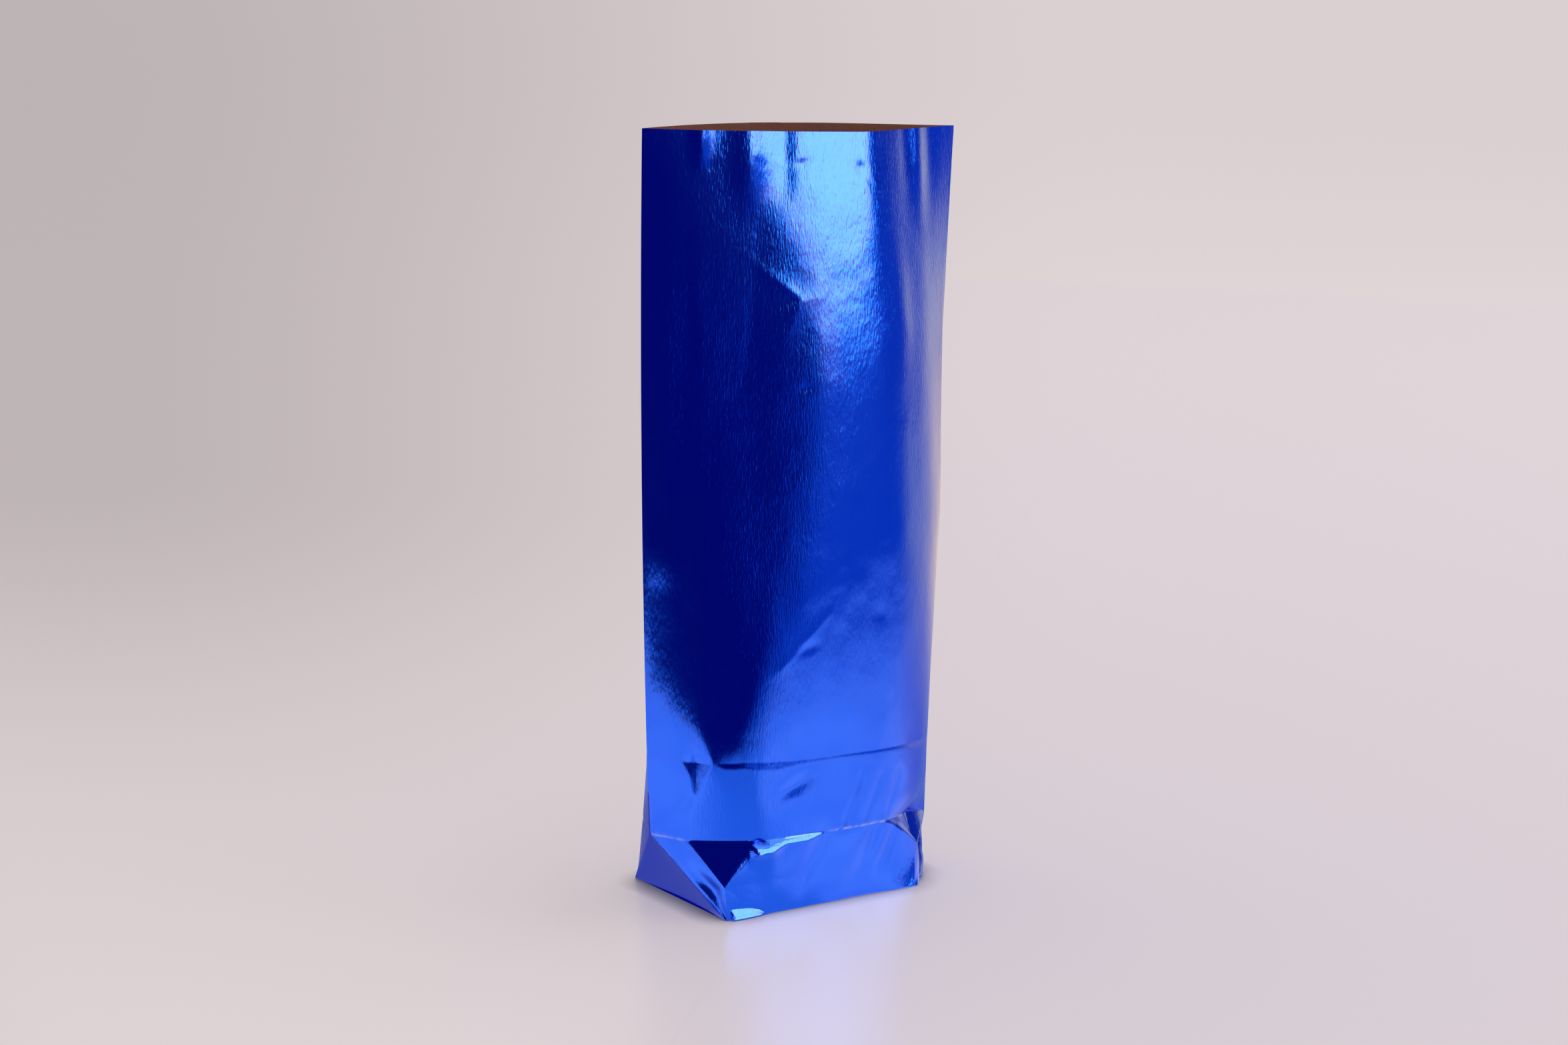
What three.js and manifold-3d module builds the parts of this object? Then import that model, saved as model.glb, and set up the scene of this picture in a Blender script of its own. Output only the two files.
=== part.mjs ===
// A small candy bag of foil-faced kraft paper, empty, open at the top and standing on its own base.
//
// The bag is one folded sheet: a flat tube with a glued seam up its back and an envelope base. Opened out, the
// base is a rectangle, and the wall above it widens and flattens towards the mouth, where the tube is almost as
// wide as it lies flat. A triangle at each end of the base carries the change from rectangle to flat tube.
// Two fold lines run round the lower wall: the base was folded flat along the first, and its edge left the
// second. The front leans back above a slack belly, and its lower panel stands out in a small lip and breaks
// into flat facets beside the left corner.
//
// Millimetres, +Z up. The front faces -Y, the width runs along X, and the bag stands on Z = 0 with its origin
// under the middle of its bounding box.

import * as THREE from "three";
import Module from "manifold-3d";

const FLAT_WIDTH = 110; // of the tube when the bag lies flat
const BASE_DEPTH = 45;
const BASE_WIDTH = FLAT_WIDTH - BASE_DEPTH; // the tube's girth is twice the flat width
const MOUTH_HEIGHT = 209.7; // of the rim's middle
const FOLD_HEIGHT = 20.5; // of the first fold line, nearly half the base's depth up the wall
const WALL = 0.6; // stands for the laminate, which is thinner
const BASE_THICKNESS = 1.0; // three layers of paper
const FOLD_HALF = 0.35; // half the thickness of the tube's pressed side folds
const CORNER_RADIUS = 2.5; // of the base's corners
const FLAP_RECESS = 0.3; // the side tucks of the base lie this far above its flaps
const SEAM_WIDTH = 11;
const SEAM_STEP = 0.25; // the overlap stands this far out of the back wall

const SIDE_COLUMNS = 4;
const ROWS = { panel: 2, fold: 4, upper: 19 };

const point = (x, y, z) => new THREE.Vector3(x, y, z);
const curveThrough = (points) => new THREE.CatmullRomCurve3(points, false, "centripetal");
const ramp = (value, low, high) => THREE.MathUtils.smoothstep(value, low, high);
const between = (value, low, high) => THREE.MathUtils.clamp((value - low) / (high - low), 0, 1);

// The mouth was cut square to the tube, and tilts a little with the leaning bag.
const mouthHeight = (x, y) => MOUTH_HEIGHT - 0.025 * x + 0.03 * y;
const onMouth = (x, y) => point(x, y, mouthHeight(x, y));

// The side folds of the tube, left and right, where they cross the two fold lines, the waist and the mouth.
const WAIST_HEIGHT = 104;
const left = {
  first: point(-42.4, 0, 20.2), second: point(-44.3, -1, 42.7),
  waist: point(-47.6, -2.4, WAIST_HEIGHT), mouth: onMouth(-52.6, -7.6),
};
const right = {
  first: point(49.0, 0, 13.6), second: point(49.3, 0.3, 36.2),
  waist: point(50.3, 0.9, WAIST_HEIGHT), mouth: onMouth(53.4, 1.8),
};

// Each level curve runs from the left side fold to the right one.
const level = (name, ...points) => curveThrough([left[name], ...points, right[name]]);
const atWaist = (x, y) => point(x, y, WAIST_HEIGHT);
const levels = {
  front: {
    first: level(
      "first", point(-37.2, -10.4, 20.3), point(-36.6, -11.2, 20.3), point(-22.4, -19.9, 20.4),
      point(-20.6, -20.6, 20.4), point(0, -22.4, FOLD_HEIGHT), point(15, -22.6, FOLD_HEIGHT),
      point(30, -19.2, 19.6), point(42, -9.5, 16.6),
    ),
    second: level(
      "second", point(-39.5, -9.5, 42.5), point(-33.5, -16.5, 42.4), point(-24, -21, 42.6),
      point(-8, -22.7, 41.8), point(12, -22.8, 41.5), point(27, -19.6, 40.7), point(40.5, -11, 38.8),
    ),
    waist: level(
      "waist", atWaist(-42.5, -9.6), atWaist(-34, -15.4), atWaist(-20, -19.8), atWaist(-4, -21.6),
      atWaist(10, -21.9), atWaist(20, -20.9), atWaist(27, -17.6), atWaist(38, -10.6),
    ),
    mouth: level(
      "mouth", onMouth(-43, -10.2), onMouth(-28, -12.6), onMouth(-12, -14.3), onMouth(3, -14.8),
      onMouth(13, -14.4), onMouth(19, -12.4), onMouth(30, -7.6), onMouth(42, -2.6),
    ),
  },
  back: {
    first: level(
      "first", point(-40.2, 6, FOLD_HEIGHT), point(-36, 14, FOLD_HEIGHT), point(-27, 20.8, FOLD_HEIGHT),
      point(0, 23.6, FOLD_HEIGHT), point(22, 22.3, 20.2), point(40, 11.5, 17.2),
    ),
    second: level(
      "second", point(-40, 6, 42.6), point(-33, 14.5, 42.4), point(-20, 20.8, 42.2), point(0, 22.8, 42),
      point(22, 20.2, 41.2), point(40, 9.6, 38.8),
    ),
    waist: level(
      "waist", atWaist(-41, 5.4), atWaist(-30, 12), atWaist(-14, 17.2), atWaist(4, 18.6), atWaist(22, 16.2),
      atWaist(40, 7.6),
    ),
    mouth: level(
      "mouth", onMouth(-44, -3.6), onMouth(-28, 2.4), onMouth(-10, 6.4), onMouth(8, 7.4), onMouth(26, 5.6),
      onMouth(42, 3.2),
    ),
  },
};

// The base's outline from one corner's diagonal to the next. Above a corner the wall is a fan of paper, so a
// share of the wall's columns gathers at each corner.
const CORNER_SHARE = BASE_DEPTH / 2 / FLAT_WIDTH;
const HALF_WIDTH = BASE_WIDTH / 2;
const HALF_DEPTH = BASE_DEPTH / 2;
const DIAGONAL = Math.PI / 4;

function roundCorner(signX, signY, angle) {
  const reachX = HALF_WIDTH - CORNER_RADIUS * (1 - Math.sin(angle));
  const reachY = HALF_DEPTH - CORNER_RADIUS * (1 - Math.cos(angle));
  return point(signX * reachX, signY * reachY, 0);
}

function rectangleAlong(signY, share) {
  if (share < CORNER_SHARE) return roundCorner(-1, signY, DIAGONAL * (1 - share / CORNER_SHARE));
  if (share > 1 - CORNER_SHARE) return roundCorner(1, signY, DIAGONAL * (1 - (1 - share) / CORNER_SHARE));
  const along = (share - CORNER_SHARE) / (1 - 2 * CORNER_SHARE);
  const x = (2 * along - 1) * (HALF_WIDTH - CORNER_RADIUS);
  return point(x, signY * HALF_DEPTH, 0);
}

// The base's back left corner lies a little outside the rectangle.
const BACK_CORNER_OUT = { x: -1.4, y: 0.9 };

function baseAlongWall(side, share) {
  const at = rectangleAlong(side === "front" ? -1 : 1, share);
  if (side === "back") {
    at.x += BACK_CORNER_OUT.x * Math.max(0, 1 - 2 * share);
    at.y += BACK_CORNER_OUT.y * (1 - share);
  }
  return at;
}

// The front's lower panel beside the left corner: one flat facet lies between the side crease and the knee
// point, and one leans back from the knee point up to the fold line. Right of them the panel is smooth.
const KNEE = 0.45; // height of the knee as a share of the lower panel
const KNEE_POINT = point(-31.9, -21.3, 9.2);
const KNEE_ROUNDING = 0.4;
const CREASE_KNEE = 0.33;
const shareAt = (across) => across / FLAT_WIDTH + 0.5; // across is measured from the wall's middle
const knees = { from: shareAt(-43.5), to: shareAt(-22.5), end: shareAt(12) };

const plainPanel = (side, share, height) =>
  baseAlongWall(side, share).lerp(levels[side].first.getPointAt(share), height);

function kneeAlong(share) {
  if (share >= knees.end) return plainPanel("front", share, KNEE);
  const start = plainPanel("front", 0, CREASE_KNEE);
  const end = plainPanel("front", knees.end, KNEE);
  const before = KNEE_POINT.clone().add(start.clone().sub(KNEE_POINT).setLength(KNEE_ROUNDING));
  const after = KNEE_POINT.clone().add(end.clone().sub(KNEE_POINT).setLength(KNEE_ROUNDING));
  if (share < knees.from) return start.lerp(before, share / knees.from);
  if (share < knees.to) return before.lerp(after, between(share, knees.from, knees.to));
  return after.lerp(end, between(share, knees.to, knees.end));
}

function lowerPanel(side, share, height) {
  if (side === "back") return plainPanel(side, share, height);
  if (height < KNEE) return baseAlongWall(side, share).lerp(kneeAlong(share), height / KNEE);
  return kneeAlong(share).lerp(levels.front.first.getPointAt(share), (height - KNEE) / (1 - KNEE));
}

// Above the second fold line the wall follows a parabola through that line, the waist and the mouth.
const WAIST_SHARE = (WAIST_HEIGHT - 42) / (MOUTH_HEIGHT - 42);

function upperWall(side, share, rise) {
  const curves = levels[side];
  const low = ((rise - WAIST_SHARE) * (rise - 1)) / WAIST_SHARE;
  const middle = (rise * (rise - 1)) / (WAIST_SHARE * (WAIST_SHARE - 1));
  const high = (rise * (rise - WAIST_SHARE)) / (1 - WAIST_SHARE);
  return curves.second
    .getPointAt(share)
    .multiplyScalar(low)
    .addScaledVector(curves.waist.getPointAt(share), middle)
    .addScaledVector(curves.mouth.getPointAt(share), high);
}

// The height along the wall runs from 0 at the base through 1 at the first fold line and 2 at the second to 3
// at the mouth. The share runs from 0 at the left side fold to 1 at the right one.
function smoothWall(side, share, height) {
  const { first, second } = levels[side];
  if (height <= 1) return lowerPanel(side, share, height);
  if (height <= 2) return first.getPointAt(share).lerp(second.getPointAt(share), height - 1);
  return upperWall(side, share, height - 2);
}

// Where the slack front wall turns from its upright belly to the backward lean above it: high on the right, low
// at the pinch on the left of the second fold line. Millimetres from here on, also across the wall.
const PINCH = { left: -35.7, right: -27.6 };

function frontBelly(across, rise, z) {
  if (rise <= 0) return 0;
  const toRight = Math.max(0, across - PINCH.right);
  const toLeft = Math.max(0, PINCH.left - across);
  const top = 60 * (1 - Math.exp(-toRight / 18)) + 17.5 * (1 - Math.exp(-toLeft / 6.5));
  const upright = 0.03 * ramp(across, -27, -5) * Math.min(rise, top) * (1 - ramp(z, 110, 205));
  const deep = 3.2 * (1 - 0.55 * ramp(across, -5, 22)) * (1 - 0.35 * ramp(-across, 42, 52));
  const fall = deep * (1 - Math.exp(-Math.max(0, rise - top) / 42)) * (1 - ramp(z, 120, 209));
  return upright - fall;
}

// The lower front panel stands out in a lip just under the first fold line, left of the middle.
function frontLip(across, below) {
  const reach = 1.3 * ramp(-1.9 - across, 0, 9) + 1.3 * ramp(-17 - across, 0, 5);
  return below > 0 ? reach * ramp(across, -27.6, -24.8) * ramp(below, 0, 2.5) * (1 - ramp(below, 6, 28)) : 0;
}

function frontRelief(share, at) {
  const across = (share - 0.5) * FLAT_WIDTH;
  const rise = at.z - levels.front.second.getPointAt(share).z;
  const below = levels.front.first.getPointAt(share).z - at.z;
  const edge = ramp(Math.min(share, 1 - share), 0, 0.02);
  return edge * (frontBelly(across, rise, at.z) + frontLip(across, below));
}

// The tube's edges overlap in a glued seam left of the back wall's middle.
function backSeam(share, height) {
  const half = SEAM_WIDTH / 2 / FLAT_WIDTH;
  return height > 1 && Math.abs(share - 0.45) < half ? SEAM_STEP : 0;
}

// The level direction in which the wall faces.
function outwards(side, share, height) {
  const from = smoothWall(side, Math.max(0, share - 0.01), height);
  const along = smoothWall(side, Math.min(1, share + 0.01), height).sub(from);
  const sign = side === "front" ? 1 : -1;
  return point(sign * along.y, -sign * along.x, 0).normalize();
}

// The crease at the right end of the lower front panel is bent in, and the panel folds in flat facets round it.
const BEND = { from: shareAt(20), height: 0.4, x: -3.6, y: -1.2 };

function rightBend(share, height) {
  if (height >= 1 || share <= BEND.from) return 0;
  const above = (1 - height) / (1 - BEND.height);
  const under = (height - 1 + between(share, BEND.from, 1)) / BEND.height;
  return Math.max(0, Math.min(above, under));
}

function wallPoint(side, share, height) {
  const at = smoothWall(side, share, height);
  const fold = FOLD_HALF * Math.min(height, 1);
  const relief = side === "front" ? frontRelief(share, at) : backSeam(share, height);
  at.addScaledVector(outwards(side, share, height), relief);
  if (side === "front") {
    at.x += BEND.x * rightBend(share, height);
    at.y += BEND.y * rightBend(share, height) - fold;
  } else at.y += fold;
  return at;
}

// The triangle at each end of the base, which goes on upwards as the narrow pressed fold. The right one is
// slack and bulges out, most of all near the front corner.
const BULGE = { left: -0.8, right: 6.0 };

function sideSpread(end, share, height) {
  if (end === "left") return 4 * share * (1 - share) * Math.max(0, 1 - height);
  const alongSide = (1 - Math.exp(-share / 0.05)) * Math.sqrt(1 - share);
  return alongSide * ramp(height, -0.06, 0.12) * (1 - ramp(height, 0.25, 1));
}

function sidePoint(end, share, height, front, back) {
  const at = front.clone().lerp(back, share);
  const squareness = CORNER_RADIUS * (1 - Math.sin(DIAGONAL)) * Math.min(1, 12 * share * (1 - share));
  const outside = end === "left" ? -1 : 1;
  at.x += outside * (BULGE[end] * sideSpread(end, share, height) + squareness * Math.max(0, 1 - height));
  return at;
}

// Inside, the two walls stand a wall's thickness in from the outside and meet just short of the side folds.
function insideShare(height, end) {
  const share = (t) => (end === "left" ? t : 1 - t);
  const halfGap = (t) =>
    wallPoint("front", share(t), height).distanceTo(wallPoint("back", share(t), height)) / 2;
  let near = 0.004;
  let far = 0.4;
  if (halfGap(near) > WALL + 0.15) return share(near);
  for (let step = 0; step < 30; step += 1) {
    const middle = (near + far) / 2;
    if (halfGap(middle) > WALL + 0.15) far = middle;
    else near = middle;
  }
  return share(far);
}

function insidePair(share, height) {
  const front = wallPoint("front", share, height);
  const back = wallPoint("back", share, height);
  const inwards = back.clone().sub(front).setLength(WALL);
  return [front.add(inwards), back.sub(inwards)];
}

// Columns stand on the facets' edges, and between them at even steps.
const steps = (from, to, count) => Array.from({ length: count }, (_, i) => from + ((to - from) * i) / count);
const COLUMNS = [
  ...steps(0, knees.from, 4), ...steps(knees.from, knees.to, 5), ...steps(knees.to, knees.end, 9),
  ...steps(knees.end, 1, 14), 1,
];
const HEIGHTS = [
  ...steps(0, KNEE, ROWS.panel), ...steps(KNEE, 1, ROWS.panel), ...steps(1, 2, ROWS.fold),
  ...steps(2, 3, ROWS.upper), 3,
];

// One loop of points round the bag at a height: front, right side, back, left side.
function loopOf(height, pairAt, from, to) {
  const pairs = COLUMNS.map((share) => pairAt(from + (to - from) * share, height));
  const front = pairs.map((pair) => pair[0]);
  const back = pairs.map((pair) => pair[1]);
  const across = steps(0, 1, SIDE_COLUMNS).slice(1);
  const last = pairs.length - 1;
  const rightSide = across.map((t) => sidePoint("right", t, height, front[last], back[last]));
  const leftSide = across.map((t) => sidePoint("left", 1 - t, height, front[0], back[0]));
  return [...front, ...rightSide, ...back.reverse(), ...leftSide];
}

const outsidePair = (share, height) => [wallPoint("front", share, height), wallPoint("back", share, height)];
const outsideLoop = (height) => loopOf(height, outsidePair, 0, 1);
const insideLoop = (height) =>
  loopOf(height, insidePair, insideShare(height, "left"), insideShare(height, "right"));

// Collects triangles between loops of points into one closed body.
function sheetBuilder() {
  const positions = [];
  const triangle = (a, b, c) => [a, b, c].forEach((p) => positions.push(p.x, p.y, p.z));
  return {
    positions,
    band(lower, upper) {
      lower.forEach((a, i) => {
        const j = (i + 1) % lower.length;
        triangle(a, lower[j], upper[j]);
        triangle(a, upper[j], upper[i]);
      });
    },
    cap(loop, facesUp) {
      const outline = loop.map((p) => new THREE.Vector2(p.x, p.y));
      const faces = THREE.ShapeUtils.triangulateShape(outline, []);
      const area = (face) => THREE.ShapeUtils.area(face.map((i) => outline[i]));
      const turned = faces.reduce((sum, face) => sum + area(face), 0) > 0;
      faces.forEach(([a, b, c]) => {
        if (turned === facesUp) triangle(loop[a], loop[b], loop[c]);
        else triangle(loop[a], loop[c], loop[b]);
      });
    },
  };
}

function bagShell() {
  const outside = HEIGHTS.map(outsideLoop);
  const floorShare = BASE_THICKNESS / FOLD_HEIGHT;
  const inside = [floorShare, ...HEIGHTS.slice(1)].map(insideLoop);
  inside[0].forEach((p) => (p.z = BASE_THICKNESS));
  const sheet = sheetBuilder();
  sheet.cap(outside[0], false);
  for (let row = 1; row < HEIGHTS.length; row += 1) {
    sheet.band(outside[row - 1], outside[row]);
    sheet.band(inside[row], inside[row - 1]);
  }
  sheet.band(outside[HEIGHTS.length - 1], inside[HEIGHTS.length - 1]);
  sheet.cap(inside[0], true);
  return sheet.positions;
}

const wasm = await Module();
wasm.setup();

// A closed list of triangle corners as a solid.
function solidFrom(positions) {
  const found = new Map();
  const vertices = [];
  const triangles = [];
  for (let i = 0; i < positions.length; i += 3) {
    const corner = positions.slice(i, i + 3);
    const key = corner.map((value) => value.toFixed(4)).join();
    if (!found.has(key)) {
      found.set(key, found.size);
      vertices.push(...corner);
    }
    triangles.push(found.get(key));
  }
  return new wasm.Manifold(
    new wasm.Mesh({
      numProp: 3,
      vertProperties: new Float32Array(vertices),
      triVerts: new Uint32Array(triangles),
    }),
  );
}

// The side tucks of the envelope base: a triangle at each end, from two corners to the flaps' crossing.
function tuckRecess(signX) {
  const margin = 2.2; // leaves the outer edge of the base at full depth
  const outer = HALF_WIDTH - margin;
  const shape = new THREE.Shape([
    new THREE.Vector2(outer, margin - HALF_DEPTH + 1.2),
    new THREE.Vector2(outer, HALF_DEPTH - margin - 1.2),
    new THREE.Vector2(outer - HALF_DEPTH + margin + 1.2, 0),
  ]);
  const cut = new THREE.ExtrudeGeometry(shape, { depth: 1 + FLAP_RECESS, bevelEnabled: false });
  cut.translate(0, 0, -1);
  if (signX < 0) cut.rotateZ(Math.PI);
  return solidFrom(Array.from(cut.getAttribute("position").array));
}

function geometryFrom(solid) {
  const mesh = solid.getMesh();
  const geometry = new THREE.BufferGeometry();
  geometry.setAttribute("position", new THREE.BufferAttribute(new Float32Array(mesh.vertProperties), 3));
  geometry.setIndex(new THREE.BufferAttribute(new Uint32Array(mesh.triVerts), 1));
  return geometry;
}

const solid = solidFrom(bagShell()).subtract(tuckRecess(1)).subtract(tuckRecess(-1));
const geometry = geometryFrom(solid);
geometry.computeBoundingBox();
const middle = geometry.boundingBox.getCenter(point(0, 0, 0));
geometry.translate(-middle.x, -middle.y, 0);
geometry.computeVertexNormals();

const foilColour = new THREE.Color(0.02, 0.11, 0.85);
const foil = new THREE.MeshStandardMaterial({ color: foilColour, metalness: 1, roughness: 0.25 });
const bag = new THREE.Mesh(geometry, foil);
bag.name = "bag";

const part = new THREE.Group();
part.add(bag);

export default part;
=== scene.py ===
"""A small candy bag of blue foil paper, brown inside, standing open on its envelope base.

The bag's shape is worked out in millimetres: level curves run round the bag at the base, at its two fold
lines, at a waist and at the mouth, and the walls are drawn between them. Creases, facets and dents then move
the walls in or out. A place on a wall is given by across, its distance in millimetres from the wall's middle
along the paper, and by z, its height.
"""

import math

import bmesh
import bpy
import numpy as np
from mathutils import Matrix, Vector


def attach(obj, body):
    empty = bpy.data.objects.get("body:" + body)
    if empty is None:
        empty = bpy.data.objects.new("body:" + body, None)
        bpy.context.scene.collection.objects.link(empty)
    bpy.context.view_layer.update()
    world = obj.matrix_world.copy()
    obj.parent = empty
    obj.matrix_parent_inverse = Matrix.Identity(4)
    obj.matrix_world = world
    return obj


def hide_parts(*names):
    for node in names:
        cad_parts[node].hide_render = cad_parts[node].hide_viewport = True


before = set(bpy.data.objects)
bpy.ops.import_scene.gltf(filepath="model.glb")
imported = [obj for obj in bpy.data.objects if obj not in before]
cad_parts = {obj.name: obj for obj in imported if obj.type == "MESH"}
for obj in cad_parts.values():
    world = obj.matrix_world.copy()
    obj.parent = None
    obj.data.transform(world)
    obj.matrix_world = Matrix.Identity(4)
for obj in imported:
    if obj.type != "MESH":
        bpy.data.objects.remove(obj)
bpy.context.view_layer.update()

MM = 0.001
SECOND_FOLD_HEIGHT = 42.0
WAIST_HEIGHT = 104.0
MOUTH_HEIGHT = 209.7
FLAT_WIDTH = 110.0
BASE_DEPTH = 45.0
BASE_WIDTH = FLAT_WIDTH - BASE_DEPTH
CORNER_RADIUS = 2.5
CENTRING = (-0.4, 0.0, 0.0)  # puts the middle of the bag's box over the origin
BACK_CORNER_OUT = (1.4, 0.9)  # the back left corner of the base lies this far outside the rectangle

# The camera that the photograph was taken with: place in millimetres, angles in degrees.
CAMERA_PLACE = (-497.2, -738.0, 282.9)
CAMERA_YAW, CAMERA_PITCH, CAMERA_ROLL = 33.8904, 11.4954, 1.2995
PHOTO_WIDTH = 2352
FOCAL_PIXELS = 5004.0
SENSOR_WIDTH = 36.0


# ---------------------------------------------------------------- level curves


def on_mouth(x, y):
    """The mouth was cut square to the tube, and tilts a little with the leaning bag."""
    return (x, y, MOUTH_HEIGHT - 0.03 * x + 0.03 * y)


def at_waist(x, y):
    return (x, y, WAIST_HEIGHT)


LEFT_FOLD = [(-42.4, 0, 20.2), (-44.3, -1, 42.7), at_waist(-47.6, -2.4), on_mouth(-52.6, -7.6)]
RIGHT_FOLD = [(49.0, 0, 13.6), (49.3, 0.3, 36.2), at_waist(50.3, 0.9), on_mouth(53.4, 1.8)]

# Between the left and the right side fold, at the first fold line, the second one, the waist and the mouth.
FRONT_LEVELS = [
    [
        (-37.2, -10.4, 20.3), (-36.6, -11.2, 20.3), (-22.4, -19.9, 20.4), (-20.6, -20.6, 20.4),
        (0, -22.4, 20.5), (15, -22.6, 20.5), (30, -19.2, 19.6), (42, -9.5, 16.6),
    ],
    [
        (-39.5, -9.5, 42.5), (-33.5, -16.5, 42.4), (-24, -21, 42.6), (-8, -22.7, 41.8),
        (12, -22.8, 41.5), (27, -19.6, 40.7), (40.5, -11, 38.8),
    ],
    [
        at_waist(-42.5, -9.6), at_waist(-34, -15.4), at_waist(-20, -19.9), at_waist(-5, -21.8),
        at_waist(9, -21.9), at_waist(20, -20.8), at_waist(27, -18.3), at_waist(38, -11.7),
    ],
    [
        on_mouth(-43, -10.2), on_mouth(-28, -12.6), on_mouth(-12, -14.3), on_mouth(3, -14.8),
        on_mouth(13, -14.4), on_mouth(19, -12.4), on_mouth(30, -7.6), on_mouth(42, -2.6),
    ],
]
BACK_LEVELS = [
    [
        (-40.2, 6, 20.5), (-36.0, 14, 20.5), (-27, 20.8, 20.5),
        (0, 23.6, 20.5), (22, 22.3, 20.2), (40, 11.5, 17.2),
    ],
    [
        (-40, 6, 42.6), (-33, 14.5, 42.4), (-20, 20.8, 42.2),
        (0, 22.8, 42), (22, 20.2, 41.2), (40, 9.6, 38.8),
    ],
    [
        at_waist(-41, 5.4), at_waist(-30, 12), at_waist(-14, 17.2),
        at_waist(4, 18.6), at_waist(22, 16.2), at_waist(40, 7.6),
    ],
    [
        on_mouth(-44, -3.6), on_mouth(-28, 2.4), on_mouth(-10, 6.4),
        on_mouth(8, 7.4), on_mouth(26, 5.6), on_mouth(42, 3.2),
    ],
]


def spline(points, shares):
    """Points at these shares of the length of a smooth curve through the given points."""
    p = np.array(points, float)
    knots = np.r_[0, np.cumsum(np.linalg.norm(np.diff(p, axis=0), axis=1) ** 0.5)]
    widths = np.diff(knots)[:, None]
    steep = np.diff(p, axis=0) / widths
    slope = np.empty_like(p)
    slope[1:-1] = (steep[:-1] * widths[1:] + steep[1:] * widths[:-1]) / (widths[1:] + widths[:-1])
    slope[0] = 1.5 * steep[0] - 0.5 * slope[1]
    slope[-1] = 1.5 * steep[-1] - 0.5 * slope[-2]
    fine = np.linspace(0, knots[-1], 1500)
    i = np.clip(np.searchsorted(knots, fine, "right") - 1, 0, len(knots) - 2)
    width = widths[i]
    t = (fine - knots[i])[:, None] / width
    curve = (
        p[i] * (1 + 2 * t) * (1 - t) ** 2
        + p[i + 1] * t**2 * (3 - 2 * t)
        + slope[i] * width * t * (1 - t) ** 2
        - slope[i + 1] * width * t**2 * (1 - t)
    )
    length = np.r_[0, np.cumsum(np.linalg.norm(np.diff(curve, axis=0), axis=1))]
    wanted = np.asarray(shares) * length[-1]
    return np.stack([np.interp(wanted, length, curve[:, k]) for k in range(3)], -1)


def base_outline(sign_y, shares):
    """The base's edge along the front or back, from one corner's diagonal to the next."""
    corner = BASE_DEPTH / 2 / FLAT_WIDTH  # share of the wall that gathers at each corner
    from_end = np.minimum(shares, 1 - shares)
    sign_x = np.where(shares < 0.5, -1, 1)
    angle = math.pi / 4 * np.clip(1 - from_end / corner, 0, 1)
    reach_x = BASE_WIDTH / 2 - CORNER_RADIUS * (1 - np.sin(angle))
    reach_y = BASE_DEPTH / 2 - CORNER_RADIUS * (1 - np.cos(angle))
    along = (shares - corner) / (1 - 2 * corner)
    straight = (2 * along - 1) * (BASE_WIDTH / 2 - CORNER_RADIUS)
    x = np.where(from_end < corner, sign_x * reach_x, straight)
    y = sign_y * reach_y
    if sign_y > 0:
        x = x - BACK_CORNER_OUT[0] * np.clip(0.5 - shares, 0, 1) / 0.5
        y = y + BACK_CORNER_OUT[1] * (1 - shares)
    return np.stack([x, y, np.zeros_like(x)], -1)


KNEE = 0.45  # height step at which the facets beside the left corner meet
KNEE_POINT = (-31.9, -21.3, 9.2)
KNEE_FROM, KNEE_TO, KNEE_END = -43.5, -22.5, 12.0
CORNER_ACROSS = -33  # the place on the front panel that stands for the left corner
BENT_CREASE = (37.0, -12.6, 5.6)  # where the crease at the right end of the panel is bent in to


def knee_row(across, base, first):
    """The row at the knee: a flat facet up to the knee point, then straight on into the front panel."""
    row = base + (first - base) * KNEE
    knee = np.array(KNEE_POINT)
    start = base[0] + (first[0] - base[0]) * 0.33
    end = np.array([np.interp(KNEE_END, across, row[:, k]) for k in range(3)])
    a = across[:, None]
    facet = start + (knee - start) * (a - across[0]) / (KNEE_FROM - across[0])
    panel = knee + (end - knee) * np.clip((a - KNEE_TO) / (KNEE_END - KNEE_TO), 0, 1)
    return np.where(a < KNEE_FROM, facet, np.where(a < KNEE_END, panel, row))


def wall_between(levels, sign_y, shares, heights):
    """The smooth wall as a grid, with a row for each height.

    The height runs from 0 at the base through 1 and 2 at the fold lines to 3 at the mouth. Above the second
    fold line the wall follows a parabola through that line, the waist and the mouth.
    """
    curves = [base_outline(sign_y, shares)]
    for start, middle, end in zip(LEFT_FOLD, levels, RIGHT_FOLD):
        curves.append(spline([start, *middle, end], shares))
    base, first, second, waist, top = curves
    knee = base + (first - base) * KNEE
    if sign_y < 0:
        knee = knee_row((shares - 0.5) * FLAT_WIDTH, base, first)
    waist_at = (WAIST_HEIGHT - SECOND_FOLD_HEIGHT) / (MOUTH_HEIGHT - SECOND_FOLD_HEIGHT)
    rows = []
    for h in heights:
        if h <= KNEE:
            rows.append(base + (knee - base) * h / KNEE)
        elif h <= 1:
            rows.append(knee + (first - knee) * (h - KNEE) / (1 - KNEE))
        elif h <= 2:
            rows.append(first + (second - first) * (h - 1))
        else:
            t = h - 2
            low = (t - waist_at) * (t - 1) / waist_at
            mid = t * (t - 1) / (waist_at * (waist_at - 1))
            high = t * (t - waist_at) / (1 - waist_at)
            rows.append(low * second + mid * waist + high * top)
    return np.array(rows)


# ---------------------------------------------------------------- folds, facets and dents


def ramp(value, low, high):
    t = np.clip((value - low) / (high - low), 0, 1)
    return t * t * (3 - 2 * t)


def hill(value, middle, half):
    return np.exp(-(((value - middle) / half) ** 2))


def positive(value, bend):
    """The value where it is above 0, and 0 below, with a soft bend between."""
    return bend * np.log1p(np.exp(np.clip(value / bend, -40, 40)))


LATTICE = 256  # size of the grid of random values that the ripples run between


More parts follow.
